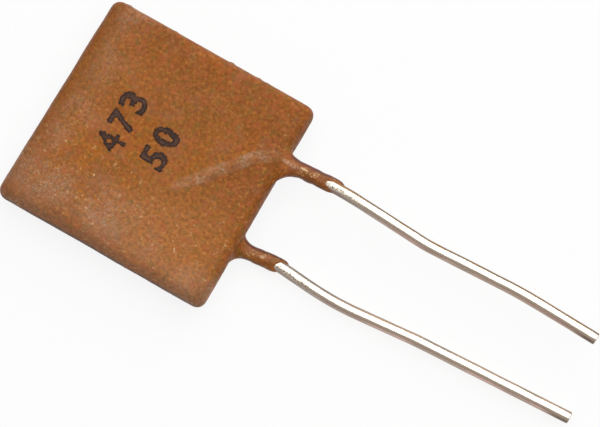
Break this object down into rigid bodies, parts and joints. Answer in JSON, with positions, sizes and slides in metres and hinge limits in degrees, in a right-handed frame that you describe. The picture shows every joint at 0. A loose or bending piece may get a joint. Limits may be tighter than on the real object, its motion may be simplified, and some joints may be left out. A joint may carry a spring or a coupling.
{
  "type": "ceramic plate capacitor",
  "caption": "Square ceramic plate capacitor in a thin dipped resin coat, with two round wire leads that run out of one edge through coated necks.",
  "frame": {"origin": "middle of the part's box, on the surface that the part lies on", "axes": "+X the way the leads point, +Y across the leads, +Z out of the front face"},
  "size_m": [0.0309, 0.012, 0.0022],
  "materials": {
    "coat": "satin",
    "ceramic": "matte",
    "silver": "satin",
    "solder": "satin",
    "tinned_copper": "polished",
    "ink": "matte"
  },
  "bodies": {
    "root": {"coat": "coat", "ceramic_plate": "ceramic", "front_electrode": "silver", "back_electrode": "silver", "front_solder": "solder", "back_solder": "solder", "front_lead": "tinned_copper", "back_lead": "tinned_copper"}
  },
  "joints": []
}
